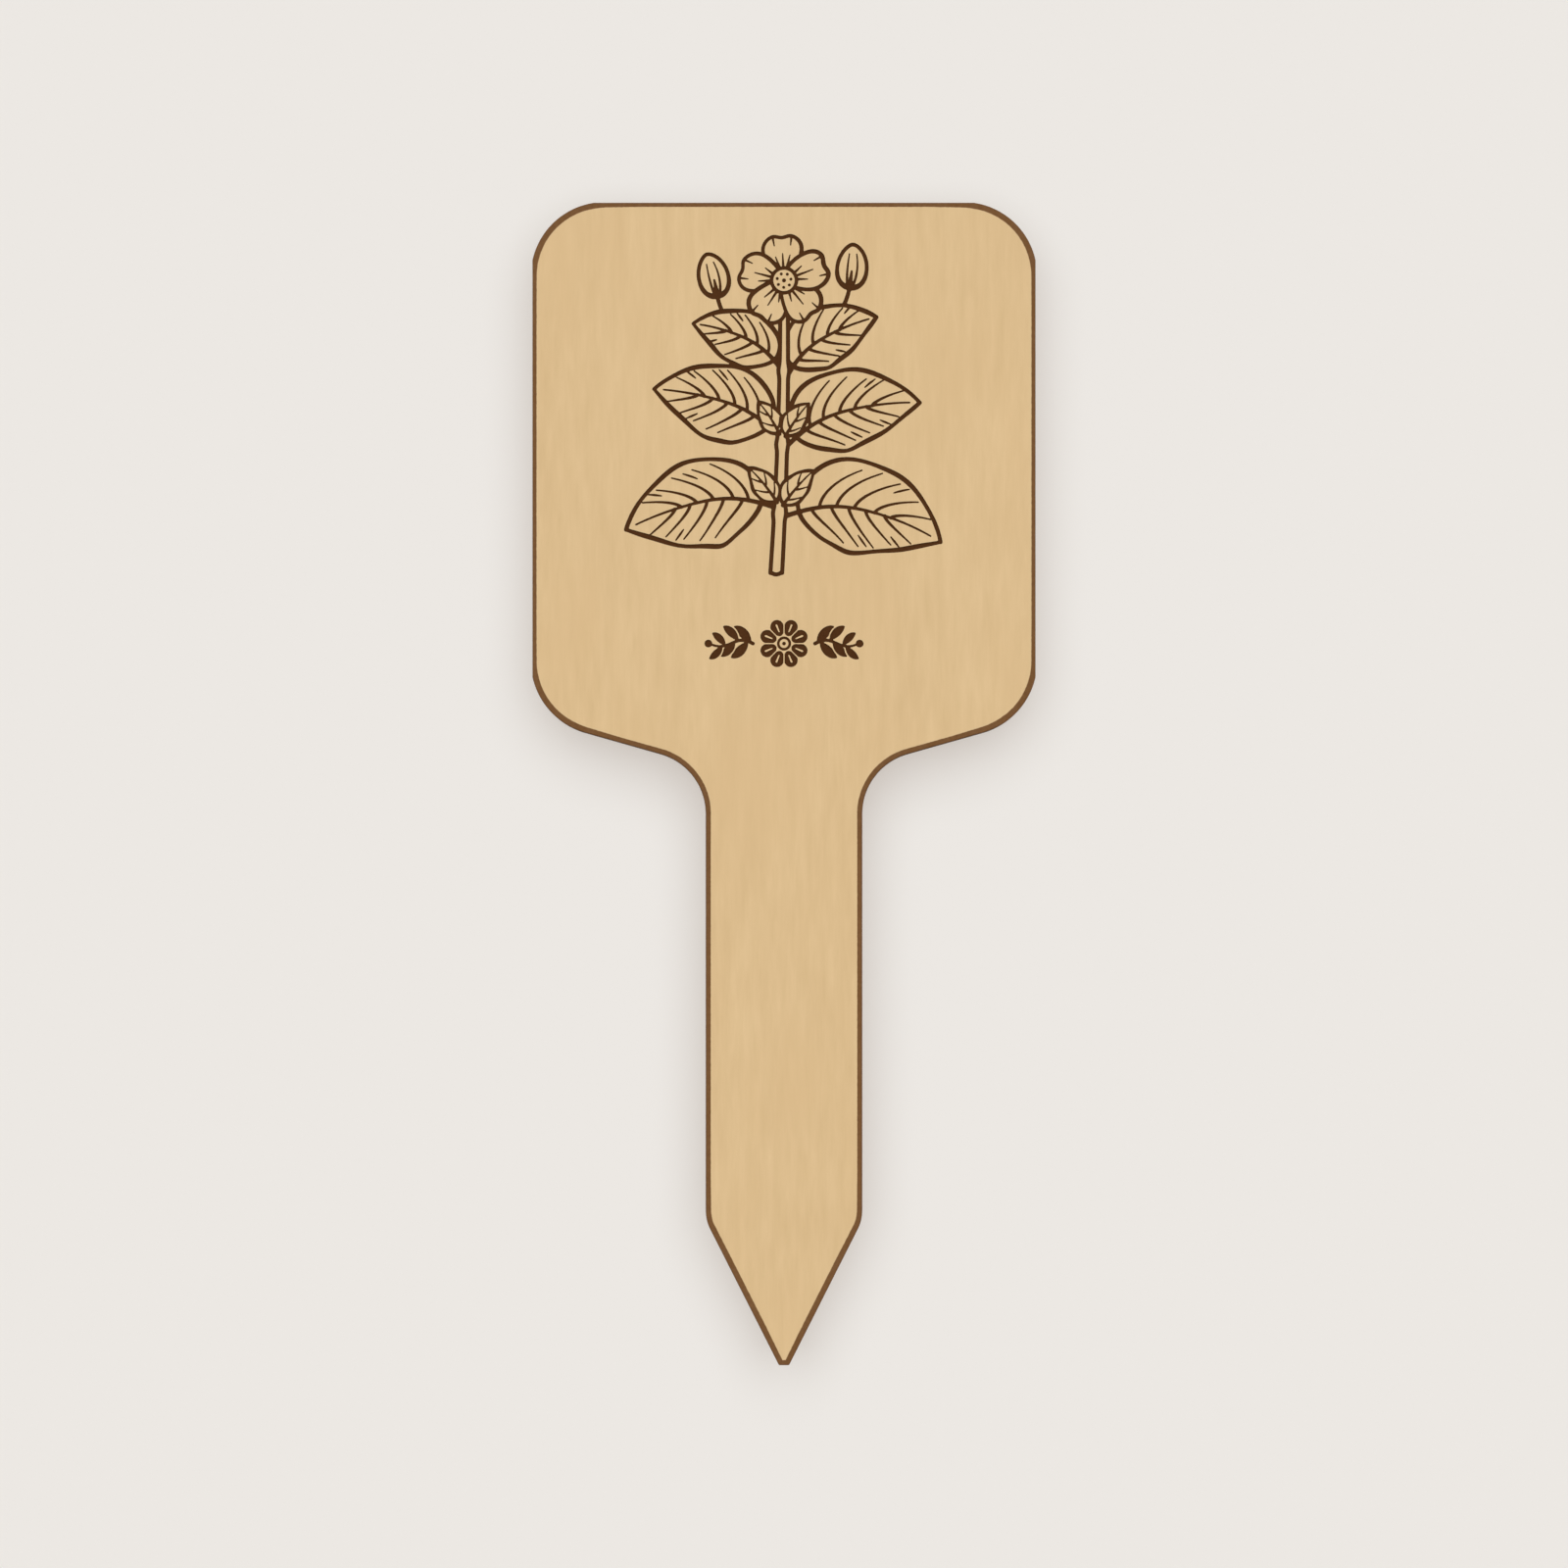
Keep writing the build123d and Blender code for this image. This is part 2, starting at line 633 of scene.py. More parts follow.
def bud(start, heading, length, width):
    """A closed bud: a swelling about a slightly bent midline, with two folds and three pointed sepals."""
    share, places, normals = midline(start, heading, 0, bud_bend, length, bud_points)
    half = swelling(share, *bud_powers)[:, None] * normals * width / 2
    edge, lines = outlined(widened(places, half), bud_line)
    for leans, part, ends in (bud_folds, bud_sepals):
        for lean in leans:
            points = (places + lean * half)[part]
            lines.append((points, np.linspace(*ends, len(points))))
    return edge, lines


def ring(centre, radius):
    """A circle's points: centre + radius (cos a, sin a)."""
    return centre + radius * way_at(np.linspace(0, 2 * np.pi, ring_steps + 1))


def window(xs, zs, points, pad):
    """The rows and columns of a grid that points reach, padded by a distance and one step more."""
    low = points.min(axis=0) - pad
    high = points.max(axis=0) + pad
    first_col, last_col = np.searchsorted(xs, [low[0], high[0]])
    first_row, last_row = np.searchsorted(zs, [low[1], high[1]])
    return slice(max(first_row - 1, 0), last_row + 1), slice(max(first_col - 1, 0), last_col + 1)


def about_line(points, radii):
    """The window round a line of changing half width, and how far its places are outside the line.

    That is the distance to a piece's nearest point p + t d, t held between 0 and 1, less the half width
    there, up to the far value. The line is taken in short runs, each with its own smaller window."""
    place = window(across, up, points, far + radii.max())
    xs = across[place[1]]
    zs = up[place[0]]
    best = np.full((len(zs), len(xs)), far)
    for k in range(0, len(points) - 1, line_run):
        p = points[k : k + line_run + 1]
        r = radii[k : k + line_run + 1]
        rows, cols = window(xs, zs, p, far + r.max())
        d = p[1:] - p[:-1]
        px = xs[cols][None, :, None] - p[:-1, 0]
        pz = zs[rows][:, None, None] - p[:-1, 1]
        squared = np.maximum((d**2).sum(axis=1), no_length)
        t = np.clip((px * d[:, 0] + pz * d[:, 1]) / squared, 0, 1)
        away = np.hypot(px - t * d[:, 0], pz - t * d[:, 1]) - (r[:-1] + t * (r[1:] - r[:-1]))
        best[rows, cols] = np.minimum(best[rows, cols], away.min(axis=-1))
    return place, best


def inside(xs, zs, points):
    """True where a row meets an odd number of the shape's sides before the place."""
    a = points
    b = np.roll(points, -1, axis=0)
    rows, side = np.nonzero((zs[:, None] > a[:, 1]) != (zs[:, None] > b[:, 1]))
    share = (zs[rows] - a[side, 1]) / (b[side, 1] - a[side, 1])
    crossing = a[side, 0] + share * (b[side, 0] - a[side, 0])
    hits = np.zeros((len(zs), len(xs) + 1), int)
    np.add.at(hits, (rows, np.searchsorted(xs, crossing)), 1)
    return np.cumsum(hits[:, :-1], axis=1) % 2 == 1


def about_shape(edge):
    """The window round a shape, and the distance to its edge, less than nothing inside it."""
    closed = np.vstack([edge, edge[:1]])
    place, away = about_line(closed, np.zeros(len(closed)))
    return place, np.where(inside(across[place[1]], up[place[0]], edge), -away, away)


def burn(ink, found):
    """Burns a shape or a line that was found with its window."""
    place, away = found
    ink[place] = np.minimum(ink[place], away)


def leave_bare(ink, found, gap=0):
    """Takes away what lies in a shape or a line, or within a gap of it."""
    place, away = found
    ink[place] = np.maximum(ink[place], gap - away)


def draw_line(ink, points, radii):
    """Burns a line of changing half width."""
    burn(ink, about_line(points, radii))


def draw_dot(ink, centre, radius):
    """Burns a round dot."""
    draw_line(ink, np.array([centre, centre]), np.full(2, radius))


def lay(ink, shape):
    """Draws a shape in front of what is there: its place is left bare, then its lines are burnt."""
    edge, lines = shape
    leave_bare(ink, about_shape(edge), line_gap)
    for points, radii in lines:
        draw_line(ink, points, radii)


def stem_x(z):
    """The stem's middle: its bow's start + slope h - bend h^2, h being the share of the bow's height."""
    h = (z - stem_foot) / bow_height
    return bow_start + bow_slope * h - bow_bend * h * h


def on_stem(z, side):
    """A place just off the stem's middle, on one side."""
    return np.array([stem_x(z) + foot_side * side, z])


def stem():
    """The stem: two edges that close up evenly towards the top, and a foot rounded by a cosine.

    At the distance d from a fork they swell by e^(-(d / spread)^2)."""
    z = np.linspace(stem_foot, stem_top, stem_points)
    swell = sum(fork_swell * np.exp(-(((z - fork) / fork_spread) ** 2)) for fork in stem_forks)
    half = stem_half_width - stem_closing * along(stem_points) + swell
    left = columns(stem_x(z) - half, z)
    right = columns(stem_x(z) + half, z)
    turn = np.linspace(-1, 1, stem_foot_points)
    sunk = foot_drop * np.cos(turn * np.pi / 2)
    foot = columns(stem_x(stem_foot) + foot_half_width * turn, stem_foot - sunk)
    return outlined(np.vstack([left[::-1], foot, right]), stem_line)


def draw_buds(ink):
    """Two buds, each on a stalk that arches out of the stem."""
    for height, side, heading, droop, length in bud_stalks:
        start = on_stem(height, bud_side_share * side)
        share, places, normals = midline(start, heading, 0, droop, length)
        draw_line(ink, places, stalk_line - bud_stalk_thinning * share)
        lay(ink, bud(places[-1], heading + droop, bud_length, bud_width))


def draw_flower(ink):
    """Five petals, each over the last, and in their middle a disc with a ring of dots."""
    for k, heading in enumerate(petal_headings):
        lay(ink, petal(flower_centre, heading, petal_length, petal_width, first_petal_seed + k))
    lay(ink, outlined(ring(flower_centre, disc_radius), disc_line))
    for degrees in dot_headings:
        way, normal = heading_way(degrees)
        draw_dot(ink, flower_centre + dot_ring_radius * way, dot_radius)
    draw_dot(ink, flower_centre, middle_dot_radius)


def draw_sprig(ink):
    """The sprig from back to front. A leaflet's seed comes from its height."""
    draw_buds(ink)
    for height, side, heading, length, width, seed, lift, droop, veins in large_leaves:
        start = on_stem(height, side)
        lay(ink, leaf(start, heading, length, width, seed, lift, droop, veins, leaf_stalk))
    lay(ink, stem())
    draw_flower(ink)
    for height, side, heading, length, width in leaflets:
        start = on_stem(height, leaflet_side_share * side)
        seed = int(10 * height)
        droop = -leaflet_droop * side
        lay(ink, leaf(start, heading, length, width, seed, 0, droop, leaflet_veins, leaflet_stalk))


def draw_rosette(ink):
    """Eight petals round a ring and a dot.

    A petal is a swelling with a fine bare line down it, and a bare gap parts it from the next."""
    t = along(rosette_points)
    petal_run = rosette_petal_start + rosette_petal_length * t
    petal_half = rosette_petal_half_width * swelling(t, *rosette_petal_powers)
    slit_run = slit_start + slit_length * t
    slit_half = slit_half_width + slit_widening * t
    gap_run = gap_start + gap_length * t
    gap_half = gap_half_width + gap_widening * t
    turn = 360 / rosette_petals
    for degrees in np.arange(turn / 2, 360, turn):
        way, normal = heading_way(degrees)
        edge = widened(ornament_centre + np.outer(petal_run, way), np.outer(petal_half, normal))
        burn(ink, about_shape(edge))
        leave_bare(ink, about_line(ornament_centre + np.outer(slit_run, way), slit_half))
    for degrees in np.arange(0, 360, turn):
        way, normal = heading_way(degrees)
        leave_bare(ink, about_line(ornament_centre + np.outer(gap_run, way), gap_half))
    circle = ring(ornament_centre, rosette_ring_radius)
    draw_line(ink, circle, np.full(len(circle), rosette_ring_line))
    draw_dot(ink, ornament_centre, rosette_dot_radius)


def on_twig(t, side):
    """A place along a twig, which waves as sin(2 pi t) (1 - calming t)."""
    wave = twig_wave * np.sin(2 * np.pi * t) * (1 - twig_calming * t)
    return columns(side * (twig_start + twig_length * t), ornament_centre[1] + wave)


def draw_twig(ink, side):
    """A twig beside the rosette, with a berry on its end and three pairs of leaflets.

    A leaflet is a swelling about a drooping midline. Each pair is a little smaller than the last."""
    level = 90 - side * 90
    for k in range(twig_pairs):
        length = twig_leaflet_length - twig_leaflet_shortening * k
        half_width = twig_leaflet_half_width - twig_leaflet_narrowing * k
        for above in (1, -1):
            start = on_twig(np.array(first_pair + pair_step * k + lower_lead * (above < 0)), side)
            heading = level + side * above * twig_leaflet_angle
            droop = -side * above * twig_leaflet_droop
            share, places, normals = midline(start, heading, 0, droop, length, twig_leaflet_points)
            half = swelling(share, *twig_leaflet_powers)[:, None] * normals * half_width
            leaflet = about_shape(widened(places, half))
            leave_bare(ink, leaflet, leaflet_gap)
            burn(ink, leaflet)
    t = along(twig_points)
    draw_line(ink, on_twig(t, side), twig_line - twig_thinning * t)
    draw_dot(ink, np.array([side * berry_place, ornament_centre[1]]), berry_radius)


def engraving():
    """The engraving as a field: how far each place of the grid is outside the burnt lines."""
    ink = np.full((len(up), len(across)), far)
    draw_sprig(ink)
    draw_rosette(ink)
    draw_twig(ink, -1)
    draw_twig(ink, 1)
    least = least_share * cell
    return np.where(np.abs(ink) < least, np.where(ink < 0, -least, least), ink)


def crossings(v0, v1, p0, p1):
    """Where values that change sign between two places are nothing: v0 / (v0 - v1) of the way."""
    return p0 + (p1 - p0) * (v0 / (v0 - v1))


def contours(ink):
    """The edges of the burnt lines: a point on each side of a cell that an edge crosses, and the pairs of
    points that the cells join. Where all four sides are crossed, the sign at the middle pairs them."""
    sign = ink < 0
    rows, cols = np.nonzero(sign[:, 1:] != sign[:, :-1])
    level = np.full((len(up), len(across) - 1), -1)
    level[rows, cols] = np.arange(len(rows))
    xs = crossings(ink[rows, cols], ink[rows, cols + 1], across[cols], across[cols + 1])
    points = [columns(xs, up[rows])]
    rows, cols = np.nonzero(sign[1:] != sign[:-1])
    upright = np.full((len(up) - 1, len(across)), -1)
    upright[rows, cols] = np.arange(len(rows)) + len(xs)
    zs = crossings(ink[rows, cols], ink[rows + 1, cols], up[rows], up[rows + 1])
    points.append(columns(across[cols], zs))
    sides = columns(level[:-1], upright[:, 1:], level[1:], upright[:, :-1])
    crossed = sides >= 0
    count = crossed.sum(axis=-1)
    simple = count == 2
    pairs = [sides[simple][crossed[simple]].reshape(-1, 2)]
    middle = (ink[:-1, :-1] + ink[1:, :-1] + ink[:-1, 1:] + ink[1:, 1:]) < 0
    for alike, order in ((True, (0, 1, 2, 3)), (False, (3, 0, 1, 2))):
        saddle = (count == 4) & ((middle == sign[:-1, :-1]) == alike)
        pairs.append(sides[saddle][:, order].reshape(-1, 2))
    return np.vstack(points), np.vstack(pairs)


def edges_of(triangles):
    """Each triangle's first edges, then their second ones, then their third ones."""
    return np.concatenate([triangles[:, [0, 1]], triangles[:, [1, 2]], triangles[:, [2, 0]]])


def joined_regions(triangles, walls):
    """A label for each triangle, the same for all that meet across edges that aren't walls.

    Each pass gives both triangles at an edge the lower of their labels, then follows each label once."""
    total = triangles.max() + 1
    ends = np.sort(edges_of(triangles), axis=1)
    keys = ends[:, 0] * total + ends[:, 1]
    owner = np.tile(np.arange(len(triangles)), 3)
    order = np.argsort(keys, kind="stable")
    keys = keys[order]
    owner = owner[order]
    wall_ends = np.sort(walls, axis=1)
    shared = (keys[1:] == keys[:-1]) & ~np.isin(keys[1:], wall_ends[:, 0] * total + wall_ends[:, 1])
    a = owner[:-1][shared]
    b = owner[1:][shared]
    label = np.arange(len(triangles))
    while np.any(label[a] != label[b]):
        low = np.minimum(label[a], label[b])
        np.minimum.at(label, label[a], low)
        np.minimum.at(label, label[b], low)
        label = label[label]
    return label


def field_at(ink, places):
    """The field at any places, worked out between the four grid values round each.

    A place beyond the grid takes the value at its edge."""
    just_inside = 1.001
    col = np.clip((places[:, 0] - across[0]) / cell, 0, len(across) - just_inside)
    row = np.clip((places[:, 1] - up[0]) / cell, 0, len(up) - just_inside)
    c = col.astype(int)
    r = row.astype(int)
    fc = col - c
    fr = row - r
    lower = ink[r, c] * (1 - fc) + ink[r, c + 1] * fc
    upper = ink[r + 1, c] * (1 - fc) + ink[r + 1, c + 1] * fc
    return lower * (1 - fr) + upper * fr


def once_round(edge):
    """Each point of an edge with the next one, the last with the first."""
    here = np.arange(len(edge))
    return columns(here, np.roll(here, -1))


def flat_triangles(places, walls):
    """A flat face's Delaunay triangles, none of them across a wall, turned counter-clockwise, and their
    areas: half the cross product of two sides."""
    points = [Vector(place) for place in places]
    divided = delaunay_2d_cdt(points, walls.tolist(), [], triangles_inside, one_place)
    triangles = np.array(divided[2])
    a, b, c = places[triangles.T]
    area = ((b - a)[:, 0] * (c - a)[:, 1] - (b - a)[:, 1] * (c - a)[:, 0]) / 2
    return np.where((area < 0)[:, None], triangles[:, ::-1], triangles), np.abs(area)


def plain_triangles(edge):
    """A plain flat face inside an edge, as triangles."""
    return flat_triangles(edge, once_round(edge))[0]


def divide_face(edge, ink):
    """The front face inside an edge: its points, its triangles, and which of them are burnt.

    A region is burnt if the field over its triangles, weighed by their areas, sums to below nothing."""
    points, pairs = contours(ink)
    places = np.vstack([edge, points])
    walls = np.vstack([once_round(edge), pairs + len(edge)])
    triangles, area = flat_triangles(places, walls)
    label = joined_regions(triangles, walls)
    field = field_at(ink, places[triangles].mean(axis=1))
    total = np.bincount(label, weights=field * area, minlength=len(triangles))
    return places, triangles, total[label] < 0


def open_edges(triangles):
    """The directed edges that only one of the triangles has."""
    total = triangles.max() + 1
    edges = edges_of(triangles)
    forward = edges[:, 0] * total + edges[:, 1]
    backward = edges[:, 1] * total + edges[:, 0]
    return edges[~np.isin(forward, backward)]


def cut_inset(y):
    """The leaning wall's inset from the back face's outline: the way to the back face times the slope."""
    return (back_y - y) * cut_slope


def profile_of(seam_y, insets, ys, rings, face_y):
    """(inset, y) from the seam along the cut wall, round an edge and in over the face ring by ring."""
    insets = np.concatenate([[cut_inset(seam_y)], insets, rings])
    ys = np.concatenate([[seam_y], ys, np.full(len(rings), face_y)])
    return columns(insets, ys)


def front_profile():
    """The front veneer's profile. Its burnt edge is an arc from the wall's slope to a quarter turn:
    centre - radius (cos a, sin a)."""
    slope = np.arctan(cut_slope)
    centre_y = front_y + burnt_edge_radius
    centre_inset = cut_inset(centre_y) + burnt_edge_radius / np.cos(slope)
    angle = np.linspace(slope, np.pi / 2, front_edge_steps + 1)
    insets = centre_inset - burnt_edge_radius * np.cos(angle)
    ys = centre_y - burnt_edge_radius * np.sin(angle)
    rings = [centre_inset + first_ring] + front_rings + [last_ring]
    return profile_of(front_seam_y, insets, ys, rings, front_y)


def back_profile():
    """The back veneer's profile. Its back edge is a quarter arc."""
    angle = np.linspace(0, np.pi / 2, back_edge_steps + 1)
    insets = back_edge_radius * (1 - np.cos(angle))
    ys = back_y - back_edge_radius * (1 - np.sin(angle))
    rings = [back_edge_radius + first_ring] + back_rings + [last_ring]
    return profile_of(back_seam_y, insets, ys, rings, back_y)


def rim(profile):
    """A profile of (inset, y) carried along the outline: its points, one time round for each profile step,
    its faces, each point's share of the way in over the band, and how many points go once round."""
    widths = band_widths()
    count = len(widths)
    places = []
    shares = []
    for inset, y in profile:
        edge, trim = outline(inset)
        places.append(columns(edge[:, 0], np.full(count, y), edge[:, 1]))
        shares.append((inset + trim) / widths)
    step = np.arange(len(profile) - 1)[:, None] * count
    here, after = once_round(widths).T
    quads = columns(step + here, step + after, step + count + after, step + count + here)
    return np.vstack(places), quads.reshape(-1, 4), np.concatenate(shares), count


def new_object(name, data):
    """An object in the scene, at the origin."""
    made = bpy.data.objects.new(name, data)
    bpy.context.scene.collection.objects.link(made)
    return made


def make_piece(name, places, faces, finishes, face_finishes, share):
    """A piece of the stake, from its points and faces, its finishes and which of them each face has, and
    each point's share of the way in over the band."""
    mesh = bpy.data.meshes.new(name)
    mesh.from_pydata((places * MM).tolist(), [], faces)
    for finish in finishes:
        mesh.materials.append(finish)
    mesh.polygons.foreach_set("material_index", face_finishes)
    mesh.polygons.foreach_set("use_smooth", np.ones(len(faces), bool))
    mesh.attributes.new("band_share", "FLOAT", "POINT").data.foreach_set("value", share)
    mesh.update()
    mesh.set_sharp_from_angle(angle=sharp_angle)
    return new_object(name, mesh)


def make_front_veneer(finish, burnt_finish):
    """The front veneer: its rim, its divided face, and the grooves' floors and upright walls."""
    rim_places, quads, share, count = rim(front_profile())
    inner = len(rim_places) - count
    face_places, triangles, burnt = divide_face(rim_places[inner:, [0, 2]], engraving())
    drawn = face_places[count:]
    top = columns(drawn[:, 0], np.full(len(drawn), front_y), drawn[:, 1])
    floor = top + [0, groove_depth, 0]
    places = np.vstack([rim_places, top, floor])
    triangles = triangles + inner
    bare = triangles[~burnt]
    floors = triangles[burnt] + len(drawn)
    lip = open_edges(triangles[burnt])
    walls = columns(lip[:, 0], lip[:, 1], lip[:, 1] + len(drawn), lip[:, 0] + len(drawn))
    seam = plain_triangles(rim_places[:count, [0, 2]])[:, ::-1]
    faces = quads.tolist() + seam.tolist() + bare.tolist() + floors.tolist() + walls.tolist()
    plain = len(quads) + len(seam) + len(bare)
    finishes = np.repeat([0, 1], [plain, len(faces) - plain])
    share = np.concatenate([share, np.full(2 * len(drawn), share_far_inside)])
    return make_piece("engraved_front_veneer", places, faces, [finish, burnt_finish], finishes, share)


def make_back_veneer(finish):
    """The back veneer: the rim, turned to face backwards, and its two flat faces."""
    places, quads, share, count = rim(back_profile())
    inner = len(places) - count
    seam = plain_triangles(places[:count, [0, 2]])
    back_face = plain_triangles(places[inner:, [0, 2]])[:, ::-1] + inner
    faces = quads[:, ::-1].tolist() + seam.tolist() + back_face.tolist()
    return make_piece("plain_back_veneer", places, faces, [finish], np.zeros(len(faces), int), share)


def colour(red, green, blue):
    """A colour given as it shows on a screen, 0 to 255, as the linear values that a shader takes."""
    shown = np.array([red, green, blue]) / 255
    linear = np.where(shown <= 0.04045, shown / 12.92, ((shown + 0.055) / 1.055) ** 2.4)
    return (*linear.tolist(), 1.0)


# Tones, from the darkest to the lightest
face_tones = [colour(210, 178, 130), colour(216, 184.5, 137), colour(222, 191, 144)]
back_tones = [colour(206, 173, 126), colour(214, 182, 136), colour(222, 191, 146)]
patch_tone = colour(214.5, 181.5, 133.5)
front_band_tones = [colour(101, 64, 24), colour(111, 74, 33)]
back_band_tones = [colour(120, 86, 53), colour(150, 113, 75)]
veneer_wall_tones = [colour(66, 44, 28), colour(104, 72, 45)]
engraved_tones = [colour(70, 41, 18), colour(83, 51, 26)]
core_tones = [colour(52, 34, 22), colour(92, 62, 39)]
glue_tones = [colour(34, 22, 15), colour(58, 38, 25)]

# Noises: the sizes of their spots along x, y and z in millimetres. A place moves some of them on, so that
# no two fall alike
broad_streaks = (3.2, 3.2, 13)
fine_streaks = (1.2, 1.2, 7)
wood_pores = (0.22, 0.22, 3.5)
wood_patches = (9, 9, 22)
wood_patches_place = (3, 1, 5)
scorch_mottle = (0.5, 0.5, 0.5)
scorch_mottle_place = (7, 2, 4)
wall_burns = (0.16, 2.5, 0.16)
veneer_burns_place = (1, 6, 2)
wall_spots = (1.1, 1.1, 1.1)
floor_spots = (0.25, 0.25, 0.25)
floor_patches = (3, 3, 3)
floor_patches_place = (5, 5, 5)
laser_rows = (1.2, 1.2, 0.1)
laser_rows_place = (2, 2, 2)
# How much detail a noise has: most of them, the fine streaks and the laser's rows
noise_detail = 2.0
streak_detail = 3.0
row_detail = 1.0

# How much each noise counts in a shade, and the values that the tones follow one another between
wood_shares = (0.27, 0.58, 0.15)
floor_shares = (0.6, 0.4)
wall_shares = (0.65, 0.35)
tone_steps = (0.3, 0.7)
wall_steps = (0.35, 0.65)
# The patches come up between these values of their noise, to this share
patch_steps = (0.45, 0.75)
most_patch = 0.5
# How far the mottle makes the scorched band's end wander, as a share of the band
band_wander = 0.10
# How squarely along y a face looks where it is all cut wall, and where it is none
wall_facing = (0.15, 0.75)

# Roughness: the values of a noise that it goes between, and what it is there
rough_steps = (0.2, 0.8)
veneer_roughness = (0.58, 0.70)
floor_roughness = (0.75, 0.9)
wall_rough_steps = (0.3, 0.7)
wall_roughness_swing = 0.06

# Bumps: their depth in millimetres and their strength
pore_bump = (0.02, 0.5)
veneer_burn_bump = (0.02, 0.3)
row_bump = (0.02, 0.5)
burn_bump = (0.03, 0.5)

# How much each surface mirrors
veneer_specular = 0.25
engraved_specular = 0.05
charred_specular = 0.06


def add(tree, kind, inputs=None, **settings):
    """One shader node: its settings, and for each socket a value or the output that it is linked to."""
    node = tree.nodes.new("ShaderNode" + kind)
    for name, value in settings.items():
        setattr(node, name, value)
    for socket, value in (inputs or {}).items():
        if isinstance(value, bpy.types.NodeSocket):
            tree.links.new(value, node.inputs[socket])
        else:
            node.inputs[socket].default_value = value
    return node


def maths(tree, operation, first, second=0.0):
    """A sum of two values, or another operation on them."""
    return add(tree, "Math", {0: first, 1: second}, operation=operation).outputs[0]


def between(tree, value, low, high, first=0.0, last=1.0):
    """A result eased from first to last as a value goes from low to high."""
    inputs = {"Value": value, "From Min": low, "From Max": high, "To Min": first, "To Max": last}
    return add(tree, "MapRange", inputs, interpolation_type="SMOOTHSTEP").outputs["Result"]


def weighed(tree, values, shares):
    """The sum of some values, each times its share."""
    parts = [maths(tree, "MULTIPLY", value, share) for value, share in zip(values, shares)]
    total = parts[0]
    for part in parts[1:]:
        total = maths(tree, "ADD", total, part)
    return total


def blend_colours(tree, share, first, second):
    """Two colours mixed by a share."""
    return add(tree, "Mix", {0: share, 6: first, 7: second}, data_type="RGBA").outputs[2]


def speckle(tree, size_mm, place=(0, 0, 0), detail=noise_detail):
    """A soft noise whose spots have the given sizes along x, y and z, moved on by a place."""
    spot = [1 / (size * MM) for size in size_mm]
    where = add(tree, "TexCoord").outputs["Object"]
    stretched = add(tree, "Mapping", {"Vector": where, "Scale": spot, "Location": place}).outputs["Vector"]
    inputs = {"Vector": stretched, "Scale": 1.0, "Detail": detail}
    return add(tree, "TexNoise", inputs).outputs["Fac"]


def colour_steps(tree, value, tones, ends=tone_steps):
    """A value turned into colours: the tones follow one another evenly as it goes from end to end."""
    low, high = ends
    node = add(tree, "ValToRGB", {"Fac": value})
    elements = node.color_ramp.elements
    places = np.linspace(low, high, len(tones))
    elements[0].position = low
    elements[0].color = tones[0]
    elements[1].position = high
    elements[1].color = tones[-1]
    for place, tone in zip(places[1:-1], tones[1:-1]):
        elements.new(place).color = tone
    return node.outputs["Color"]


def relief(tree, height, depth_mm, strength, under=None):
    """A bump, over another one if there is one."""
    inputs = {"Height": height, "Distance": depth_mm * MM, "Strength": strength}
    if under is not None:
        inputs["Normal"] = under
    return add(tree, "Bump", inputs).outputs["Normal"]


def finish_surface(tree, shade, roughness, normal, specular):
    """Ends a material with its surface."""
    inputs = {"Base Color": shade, "Roughness": roughness, "Normal": normal, "Specular IOR Level": specular}
    surface = add(tree, "BsdfPrincipled", inputs)
    add(tree, "OutputMaterial", {"Surface": surface.outputs["BSDF"]})


def new_material(name):
    """An empty node material and its tree."""
    material = bpy.data.materials.new(name)
    material.use_nodes = True
    material.node_tree.nodes.clear()
    return material, material.node_tree


def squareness(tree):
    """1 where a face looks along y, either way, and 0 where it looks across: its normal's unsigned y."""
    normal = add(tree, "NewGeometry").outputs["Normal"]
    return maths(tree, "ABSOLUTE", add(tree, "SeparateXYZ", {0: normal}).outputs["Y"])


def veneer_colour(tree, place, tones):
    """The veneer's own colour: broad and fine streaks, pores and faint patches, all long along the stake.

    Its pores and its fine streaks come back too."""
    broad = speckle(tree, broad_streaks, place)
    streaks = speckle(tree, fine_streaks, place, streak_detail)
    pores = speckle(tree, wood_pores, place)
    value = weighed(tree, (broad, streaks, pores), wood_shares)
    spots = speckle(tree, wood_patches, wood_patches_place)
    patches = between(tree, spots, *patch_steps, last=most_patch)
    shade = blend_colours(tree, patches, colour_steps(tree, value, tones), patch_tone)
    return shade, pores, streaks


def scorched_band(tree, mottle, edge, softness):
    """1 within the scorched band and 0 past it, from the mesh's share of the way in over it.

    It ends softly at a share of its width, which wanders a little with the mottle."""
    share = add(tree, "Attribute", attribute_name="band_share").outputs["Fac"]
    wander = maths(tree, "MULTIPLY", maths(tree, "SUBTRACT", mottle, 0.5), band_wander)
    place = maths(tree, "ADD", share, wander)
    return between(tree, place, edge - softness, edge + softness, first=1.0, last=0.0)


